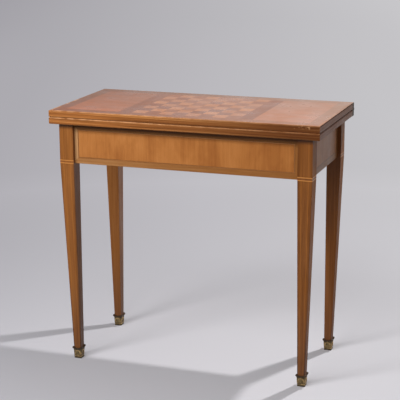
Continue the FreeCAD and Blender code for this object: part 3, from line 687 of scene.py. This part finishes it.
# Roughness that patina adds, and the depth of patina and scratches, with the scratches' share of it
PATINA_DULLNESS = 0.25
PATINA_DEPTH = 0.00012
SCRATCH_SHARE = 0.3
BAIZE_COLOURS = [srgb(26, 62, 34), srgb(44, 92, 50), srgb(62, 112, 64)]
BAIZE_NAP_DEPTH = 0.0003
BAIZE_ROUGHNESS = 0.95
BAIZE_SHEEN = {"Sheen Weight": 0.35, "Sheen Roughness": 0.5}


def patinated(shader, rate):
    """Patina in patches: its depth, and how far it covers the metal."""
    patina = shader.noise((rate, rate, rate), detail=4.0)
    return patina, shader.spread(patina, low=0.38, high=0.66)


def tarnish(shader, colour, patina, cover, roughness, crust):
    """Closes a metal: scratched, and duller under its patina.

    Crust is the share of the metal that is hidden under the patina; half as much is hidden elsewhere.
    """
    scratch = shader.noise((2400, 2400, 160), detail=2.0)
    dulled = shader.linear(shader.spread(patina, low=0.35, high=0.7), PATINA_DULLNESS, roughness)
    height = shader.linear(scratch, SCRATCH_SHARE, patina)
    bare = shader.linear(cover, -crust / 2, 1.0 - crust / 2)
    return shader.finish(colour, dulled, height, PATINA_DEPTH, {"Metallic": bare})


def aged_metal(name, colours, roughness, rate, crust):
    """Metal with a brown patina in patches, so many to the metre."""
    shader = material_shader(name)
    patina, cover = patinated(shader, rate)
    return tarnish(shader, shader.mix(cover, *colours), patina, cover, roughness, crust)


def cup_brass():
    """Brass of the foot cups, soiled round the rim and in the grooves, with painted shade on the left and
    right sides.
    """
    shader = material_shader("foot_brass")
    patina, cover = patinated(shader, rate=160)
    # Painted shade on the left and right sides
    dirt_and_shade = shader.times(shader.above(shader.facing("x"), FACE), CUP_SIDE_SHADE)
    for height, half in CUP_GROOVES:
        groove = shader.times(shader.near(shader.axis["z"], height, half), CUP_GROOVE_DIRT)
        dirt_and_shade = shader.math("MAXIMUM", dirt_and_shade, groove)
    colour = shader.stained(shader.mix(cover, *CUP_BRASS), CUP_DIRT_AND_SHADE, dirt_and_shade)
    return tarnish(shader, colour, patina, cover, roughness=0.42, crust=0.9)


def hinge_brass():
    """Brass of the hinges, darkened on the faces at the two ends of the leaves."""
    shader = material_shader("hinge_brass")
    patina, cover = patinated(shader, rate=240)
    at_end = shader.above(shader.facing("x"), FACE)
    colour = shader.stained(shader.mix(cover, *HINGE_BRASS), HINGE_END_DARKENING, at_end)
    return tarnish(shader, colour, patina, cover, roughness=0.42, crust=0.0)


def baize_cloth():
    """Napped green cloth: a fine felted weave with broad brushed patches."""
    shader = material_shader("baize_cloth")
    nap = shader.noise((900, 900, 900), detail=4.0, roughness=0.7)
    brushed = shader.noise((9, 16, 9))
    fibres = shader.noise((4200, 2600, 2600), detail=2.0)
    patches = shader.times(shader.spread(brushed, low=0.3, high=0.7), 0.5)
    tone = shader.linear(shader.spread(nap, low=0.3, high=0.7), 0.5, patches)
    colour = shader.ramp(tone, BAIZE_COLOURS)
    height = shader.math("ADD", nap, fibres)
    return shader.finish(colour, BAIZE_ROUGHNESS, height, BAIZE_NAP_DEPTH, BAIZE_SHEEN)


# Finishes on the solids of the frame

WOOD_EASE = 0.0007
METAL_EASE = 0.0003
EASE_STEPS = 2
SHARP_ANGLE = math.radians(35)
WELD_DISTANCE = 0.00001


def dress(node, material):
    """Gives a solid of the frame its finish."""
    slots = NODES[node].data.materials
    slots.clear()
    slots.append(material)


def ease_edges(node, width):
    """Rounds the sharp edges of a solid a little, as sanding does."""
    weld = NODES[node].modifiers.new("weld", "WELD")
    weld.merge_threshold = WELD_DISTANCE
    bevel = NODES[node].modifiers.new("ease", "BEVEL")
    bevel.width = width
    bevel.segments = EASE_STEPS
    bevel.limit_method = "ANGLE"
    bevel.angle_limit = SHARP_ANGLE
    bevel.harden_normals = True


def dress_frame():
    """Legs, rails and their inlays, and the boards and blocks inside the table."""
    for corner in CORNERS:
        dress(f"{corner}_leg", leg_wood(corner))
        ease_edges(f"{corner}_leg", WOOD_EASE)
        dress(f"{corner}_leg_band", band_wood(corner))
    for side in RAIL_AXES:
        dress(f"{side}_rail", rail_wood(side))
        ease_edges(f"{side}_rail", WOOD_EASE)
        dress(f"{side}_rail_stringing", stringing_wood(side))
    boards = {
        "y": ["pivot_bearer", "well_partition"],
        "x": ["well_floor", "lower_leaf_core", "upper_leaf_core"],
        "z": [f"{corner}_corner_block" for corner in CORNERS] + ["stop_peg"],
    }
    for along, names in boards.items():
        board = inner_wood(along)
        for name in names:
            dress(name, board)


def dress_top():
    """Lippings, borders and the veneers of the top."""
    lipping = lipping_wood()
    border = border_wood()
    for leaf in LEAVES:
        dress(f"{leaf}_lipping", lipping)
        dress(f"{leaf}_playing_border", border)
    dress("border_banding", border)
    panel = panel_wood()
    dark_band = dark_band_wood()
    for side in SIDES:
        dress(f"{side}_veneer_panel", panel)
        dress(f"{side}_dark_band", dark_band)
    dress("light_squares", square_wood("light_square_wood", LIGHT_REAR, LIGHT_FRONT))
    dress("dark_squares", square_wood("dark_square_wood", DARK_REAR, DARK_FRONT))


def dress_metal(steel):
    """Foot cups, hinges, pivot, screws and nails."""
    cup = cup_brass()
    for corner in CORNERS:
        dress(f"{corner}_sabot", cup)
        ease_edges(f"{corner}_sabot", METAL_EASE)
    hinge = hinge_brass()
    for side in SIDES:
        dress(f"{side}_hinge_pin", hinge)
        for leaf in LEAVES:
            dress(f"{leaf}_{side}_hinge", hinge)
    for node in ("pivot_stud", "pivot_washer", "pivot_nut", "pivot_screws", "sabot_nails"):
        dress(node, steel)
    soiled = aged_metal("soiled_steel", SOILED_STEEL, roughness=0.60, rate=300, crust=0.6)
    for leaf in LEAVES:
        dress(f"{leaf}_hinge_screws", soiled)


def new_piece(name, builder, material):
    """An object from a bmesh, with one material."""
    mesh = bpy.data.meshes.new(name)
    builder.to_mesh(mesh)
    builder.free()
    mesh.materials.append(material)
    obj = bpy.data.objects.new(name, mesh)
    bpy.context.scene.collection.objects.link(obj)
    return obj


# Relief on the foot cups

CUP_SIDES = 4
# Half the width of a cup above its base moulding and at its neck, and the heights of both
CUP_BASE_HALF = 0.0104
CUP_NECK_HALF = 0.01219
CUP_BASE_Z = 0.003
CUP_NECK_Z = 0.026
BEAD_Z = 0.0067
BEAD_RADIUS = 0.0011
BEAD_STEPS = 12
ARCH_FOOT_Z = 0.0100
ARCH_SPRING_Z = 0.0162
ARCH_HALF = 0.0081
ARCH_RADIUS = 0.0015
ARCH_STEPS = 12
# The roll along the rim dips between its corners and swells towards them
COLLAR_Z = 0.0334
COLLAR_DIP = 0.0030
COLLAR_HALF = 0.0122
COLLAR_RADIUS = 0.0018
COLLAR_CORNER_RADIUS = 0.0040
COLLAR_STEPS = 12


def cup_half(height):
    """Half the width of a foot cup between its base moulding and its neck."""
    share = (height - CUP_BASE_Z) / (CUP_NECK_Z - CUP_BASE_Z)
    return CUP_BASE_HALF + (CUP_NECK_HALF - CUP_BASE_HALF) * share


def arch_path():
    """Upright sides with a round head, as places across and up the face of a cup."""
    path = [(-ARCH_HALF, ARCH_FOOT_Z)]
    for step in range(ARCH_STEPS + 1):
        angle = math.pi * (1 - step / ARCH_STEPS)
        path.append((ARCH_HALF * math.cos(angle), ARCH_SPRING_Z + ARCH_HALF * math.sin(angle)))
    path.append((ARCH_HALF, ARCH_FOOT_Z))
    return path


def add_bead(builder, points, radii, closed=False):
    """A round bead along points, with a ring of its own radius square to the path at each."""
    count = len(points)
    rings = []
    side = None
    for order, (point, radius) in enumerate(zip(points, radii)):
        before = points[order - 1] if closed or order else point
        after = points[(order + 1) % count] if closed or order < count - 1 else point
        ahead = (after - before).normalized()
        side = side - ahead * side.dot(ahead) if rings else ahead.orthogonal()
        side.normalize()
        over = ahead.cross(side)
        ring = []
        for step in range(BEAD_STEPS):
            angle = 2 * math.pi * step / BEAD_STEPS
            outwards = math.cos(angle) * side + math.sin(angle) * over
            ring.append(builder.verts.new(point + radius * outwards))
        rings.append(ring)
    following = rings[1:] + rings[:1] if closed else rings[1:]
    for first, second in zip(rings, following):
        for step in range(BEAD_STEPS):
            follow = (step + 1) % BEAD_STEPS
            builder.faces.new((first[step], first[follow], second[follow], second[step]))
    if not closed:
        builder.faces.new(reversed(rings[0]))
        builder.faces.new(rings[-1])


def finish_relief(name, builder, material):
    """Closes a piece of relief of the foot cups and fixes it to the frame."""
    bmesh.ops.recalc_face_normals(builder, faces=builder.faces)
    relief = new_piece(name, builder, material)
    for face in relief.data.polygons:
        face.use_smooth = True
    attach(relief, "frame")


def cup_relief(corner, worn, dark):
    """A bead round the base of a foot cup, an arch on each of its sides and a roll along its rim."""
    low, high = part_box(f"{corner}_sabot")
    centre = Vector(((low.x + high.x) / 2, (low.y + high.y) / 2, 0.0))
    beads = bmesh.new()
    rim = []
    rim_radii = []
    for turn in range(CUP_SIDES):
        rotation = Matrix.Rotation(turn * 2 * math.pi / CUP_SIDES, 3, "Z")
        arch = [Vector((across, -cup_half(height), height)) for across, height in arch_path()]
        add_bead(beads, [centre + rotation @ point for point in arch], [ARCH_RADIUS] * len(arch))
        for step in range(COLLAR_STEPS):
            along = 2 * step / COLLAR_STEPS - 1
            height = COLLAR_Z - COLLAR_DIP * (1 - along * along)
            rim.append(centre + rotation @ Vector((along * COLLAR_HALF, -COLLAR_HALF, height)))
            rim_radii.append(COLLAR_RADIUS + (COLLAR_CORNER_RADIUS - COLLAR_RADIUS) * along * along)
    half = cup_half(BEAD_Z)
    base = [(-half, -half), (half, -half), (half, half), (-half, half)]
    points = [centre + Vector((x, y, BEAD_Z)) for x, y in base]
    add_bead(beads, points, [BEAD_RADIUS] * len(points), closed=True)
    finish_relief(f"{corner}_sabot_relief", beads, worn)
    collar = bmesh.new()
    add_bead(collar, rim, rim_radii, closed=True)
    finish_relief(f"{corner}_sabot_collar", collar, dark)


# Heads of the hinge screws

HINGE_SCREW_PITCH = 0.011
HEAD_RISE = 0.0001
HEAD_SINK = 0.0002
HEAD_CHAMFER = 0.0002
SLOT_HALF = 0.00035
SLOT_TURN = math.radians(67)
HEAD_STEPS = 12


def add_half_head(builder, centre, radius, turn):
    """Half of a screw head, on one side of its slot."""
    edge = math.asin(SLOT_HALF / radius)
    rings = []
    for reach, out in ((radius, -HEAD_SINK), (radius, HEAD_RISE / 2), (radius - HEAD_CHAMFER, HEAD_RISE)):
        ring = []
        for step in range(HEAD_STEPS + 1):
            angle = edge + (math.pi - 2 * edge) * step / HEAD_STEPS
            height = max(reach * math.sin(angle), SLOT_HALF)
            ring.append(builder.verts.new(centre + turn @ Vector((reach * math.cos(angle), out, height))))
        rings.append(ring)
    count = HEAD_STEPS + 1
    for lower, upper in zip(rings, rings[1:]):
        for step in range(count):
            follow = (step + 1) % count
            builder.faces.new((lower[step], lower[follow], upper[follow], upper[step]))
    builder.faces.new(rings[0])
    builder.faces.new(reversed(rings[-1]))


def screw_heads(leaf, material):
    """Slotted heads of the screws in the rear edge of a leaf, two at each hinge plate."""
    low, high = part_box(f"{leaf}_hinge_screws")
    radius = (high.z - low.z) / 2
    builder = bmesh.new()
    for order, (side, inset) in enumerate(((-1, 0), (-1, 1), (1, 0), (1, 1))):
        across = side * (high.x - radius - inset * HINGE_SCREW_PITCH)
        centre = Vector((across, high.y, (low.z + high.z) / 2))
        for half in (0, 1):
            turn = Matrix.Rotation(order * SLOT_TURN + half * math.pi, 3, "Y")
            add_half_head(builder, centre, radius, turn)
    bmesh.ops.recalc_face_normals(builder, faces=builder.faces)
    heads = new_piece(f"{leaf}_screw_heads", builder, material)
    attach(heads, leaf)


# Baize

BAIZE_STEP = 0.012
BAIZE_RISE = 0.00012
BAIZE_EDGE_DROP = 3 * BAIZE_RISE
# Rates of the two waves of its surface, in radians per metre along x and y
BAIZE_WAVES = ((61, 13), (-29, 47))


def baize(leaf, material):
    """A sheet of felt laid on a playing face, with a softly uneven upper side and turned-down edges."""
    low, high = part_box(f"{leaf}_baize")
    size = high - low
    columns = round(size.x / BAIZE_STEP)
    rows = round(size.y / BAIZE_STEP)
    upward = leaf == "lower_leaf"
    outer_z, base_z = (high.z, low.z) if upward else (low.z, high.z)
    builder = bmesh.new()

    def surface_point(column, row):
        x = low.x + size.x * column / columns
        y = low.y + size.y * row / rows
        at_edge = column in (0, columns) or row in (0, rows)
        waves = sum(math.sin(x_rate * x + y_rate * y) for x_rate, y_rate in BAIZE_WAVES)
        drop = BAIZE_EDGE_DROP if at_edge else BAIZE_RISE * (0.5 + 0.25 * waves)
        return Vector((x, y, outer_z - drop if upward else outer_z + drop))

    grid = []
    for row in range(rows + 1):
        grid.append([builder.verts.new(surface_point(column, row)) for column in range(columns + 1)])
    for line, next_line in zip(grid, grid[1:]):
        for column in range(columns):
            follow = column + 1
            builder.faces.new((line[column], line[follow], next_line[follow], next_line[column]))
    rim = grid[0][:-1] + [line[-1] for line in grid[:-1]]
    rim += grid[-1][:0:-1] + [line[0] for line in grid[:0:-1]]
    under = [builder.verts.new((vert.co.x, vert.co.y, base_z)) for vert in rim]
    for order in range(len(rim)):
        follow = (order + 1) % len(rim)
        builder.faces.new((rim[order], under[order], under[follow], rim[follow]))
    builder.faces.new(under)
    bmesh.ops.recalc_face_normals(builder, faces=builder.faces)
    cloth = new_piece(f"{leaf}_baize_cloth", builder, material)
    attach(cloth, leaf)
    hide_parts(f"{leaf}_baize")


# Studio

CAMERA_PLACE = Vector((1.23456, -3.47555, 1.41034))
CAMERA_YAW = math.radians(19.737)
CAMERA_DOWN = math.radians(14.245)
CAMERA_ROLL = math.radians(-0.323)
CAMERA_LENS = 117.38
CAMERA_SENSOR = 36.0
CAMERA_REACH = 200.0
# Lamps, all of them pointed at one place
LAMP_TARGET = Vector((0.0, 0.0, 0.60))
KEY_PLACE = Vector((0.95, 1.29, 2.73))
KEY_COLOUR = (1.0, 0.985, 0.96)
FILL_PLACE = Vector((-1.14, -1.76, 1.86))
FRONT_PLACE = Vector((-0.45, -2.05, 1.78))
SOFT_COLOUR = (1.0, 0.99, 0.97)
WORLD_COLOUR = (0.97, 0.98, 1.0, 1.0)
WORLD_STRENGTH = 0.10
# Backdrop and floor brighten towards the right of the main view. Each stretch has half the width over which
# it does so, and its colours from left to right.
BRIGHT_WAY = Vector((math.cos(CAMERA_YAW), math.sin(CAMERA_YAW), 0.0))
BACKDROP = (0.11, [srgb(180, 178, 183), srgb(254, 252, 254)])
FLOOR_SHADED = (1.6, [srgb(196, 195, 204), srgb(240, 239, 245)])
FLOOR_CLOSE = (0.85, [srgb(190, 188, 194), srgb(207, 205, 211), srgb(213, 211, 215)])
FLOOR_MIDDLE = (1.1, [srgb(172, 170, 176), srgb(188, 186, 191), srgb(198, 197, 200)])
FLOOR_DISTANT = (2.2, [srgb(163, 161, 167), srgb(200, 199, 202)])
FLOOR_UNSEEN = srgb(150, 149, 152)
FLOOR_HALF = 40.0
# Distances from the table over which the floor passes into its next stretch, and its shadows into haze
HAZE_REACH = (0.5, 2.2)
MIDDLE_REACH = (1.0, 2.6)
DISTANT_REACH = (2.6, 9.0)


def camera():
    """The main view, turned to the left, tilted down and rolled a little."""
    data = bpy.data.cameras.new("camera")
    data.sensor_fit = "HORIZONTAL"
    data.sensor_width = CAMERA_SENSOR
    data.lens = CAMERA_LENS
    data.clip_end = CAMERA_REACH
    obj = bpy.data.objects.new("camera", data)
    turn = (
        Matrix.Rotation(CAMERA_YAW, 4, "Z")
        @ Matrix.Rotation(math.pi / 2 - CAMERA_DOWN, 4, "X")
        @ Matrix.Rotation(CAMERA_ROLL, 4, "Z")
    )
    obj.matrix_world = Matrix.Translation(CAMERA_PLACE) @ turn
    bpy.context.scene.collection.objects.link(obj)
    bpy.context.scene.camera = obj


def lamp(name, place, diameter, power, colour, mirrored):
    """A round lamp that no camera sees, and that polish mirrors or not."""
    data = bpy.data.lights.new(name, "AREA")
    data.shape = "DISK"
    data.size = diameter
    data.energy = power
    data.color = colour
    obj = bpy.data.objects.new(name, data)
    turn = (LAMP_TARGET - place).to_track_quat("-Z", "Y").to_matrix().to_4x4()
    obj.matrix_world = Matrix.Translation(place) @ turn
    obj.visible_camera = False
    obj.visible_glossy = mirrored
    bpy.context.scene.collection.objects.link(obj)


def seen_rays(shader):
    """1 for the rays that show the backdrop, directly or mirrored, and 0 for those that light things."""
    path = shader.add("ShaderNodeLightPath")
    mirrored = shader.math("MAXIMUM", path.outputs["Is Glossy Ray"], path.outputs["Is Transmission Ray"])
    return shader.math("MAXIMUM", path.outputs["Is Camera Ray"], mirrored)


def brightening(shader, half, colours):
    """Colours along the way in which the backdrop brightens, over half a width to either side."""
    way = shader.add("ShaderNodeVectorMath", operation="DOT_PRODUCT")
    shader.feed(way.inputs[0], shader.point)
    way.inputs[1].default_value = BRIGHT_WAY
    return shader.ramp(shader.spread(way.outputs["Value"], -half, half), colours)


def blend_surfaces(shader, factor, first, second, target):
    """Closes a node tree with two surfaces blended by a factor."""
    blend = shader.add("ShaderNodeMixShader")
    for socket, value in zip(blend.inputs, (factor, first.outputs[0], second.outputs[0])):
        shader.feed(socket, value)
    out = shader.add(target)
    shader.feed(out.inputs["Surface"], blend.outputs[0])


def studio_floor():
    """A pale floor that takes the shadows near the table and fades into the backdrop far from it."""
    shader = material_shader("studio_floor")
    seen = seen_rays(shader)
    near = shader.add("ShaderNodeBsdfDiffuse")
    shader.feed(near.inputs["Color"], shader.mix(seen, FLOOR_UNSEEN, brightening(shader, *FLOOR_SHADED)))
    reach = shader.add("ShaderNodeVectorMath", operation="LENGTH")
    shader.feed(reach.inputs[0], shader.point)
    distance = reach.outputs["Value"]
    colour = brightening(shader, *FLOOR_CLOSE)
    for stretch, (start, end) in ((FLOOR_MIDDLE, MIDDLE_REACH), (FLOOR_DISTANT, DISTANT_REACH)):
        colour = shader.mix(shader.spread(distance, start, end), colour, brightening(shader, *stretch))
    far = shader.add("ShaderNodeEmission")
    shader.feed(far.inputs["Color"], colour)
    haze = shader.times(seen, shader.spread(distance, *HAZE_REACH))
    blend_surfaces(shader, haze, near, far, "ShaderNodeOutputMaterial")
    builder = bmesh.new()
    bmesh.ops.create_grid(builder, x_segments=1, y_segments=1, size=FLOOR_HALF)
    new_piece("floor", builder, shader.owner)


def studio_world():
    """Even soft light, and a pale backdrop for what looks at it or mirrors it."""
    world = bpy.data.worlds.new("studio_world")
    shader = Shader(world, "Generated")
    light = shader.add("ShaderNodeBackground")
    light.inputs["Color"].default_value = WORLD_COLOUR
    light.inputs["Strength"].default_value = WORLD_STRENGTH
    backdrop = shader.add("ShaderNodeBackground")
    shader.feed(backdrop.inputs["Color"], brightening(shader, *BACKDROP))
    blend_surfaces(shader, seen_rays(shader), light, backdrop, "ShaderNodeOutputWorld")
    bpy.context.scene.world = world


def studio():
    """A small lamp behind the right of the table and two broad ones before its left, over a pale floor."""
    studio_floor()
    studio_world()
    lamp("key_lamp", KEY_PLACE, diameter=0.11, power=45.5, colour=KEY_COLOUR, mirrored=True)
    lamp("fill_lamp", FILL_PLACE, diameter=0.70, power=11.0, colour=SOFT_COLOUR, mirrored=False)
    lamp("front_lamp", FRONT_PLACE, diameter=2.40, power=47.0, colour=SOFT_COLOUR, mirrored=False)
    bpy.context.scene.view_settings.view_transform = "Standard"


steel_metal = aged_metal("dull_steel", STEEL, roughness=0.40, rate=300, crust=0.0)
worn_metal = aged_metal("worn_foot_brass", WORN_BRASS, roughness=0.28, rate=220, crust=0.5)
dark_metal = aged_metal("dark_foot_brass", DARK_BRASS, roughness=0.45, rate=220, crust=0.8)
felt = baize_cloth()
dress_frame()
dress_top()
dress_metal(steel_metal)
for corner_name in CORNERS:
    cup_relief(corner_name, worn_metal, dark_metal)
for leaf_name in LEAVES:
    screw_heads(leaf_name, steel_metal)
    baize(leaf_name, felt)
camera()
studio()
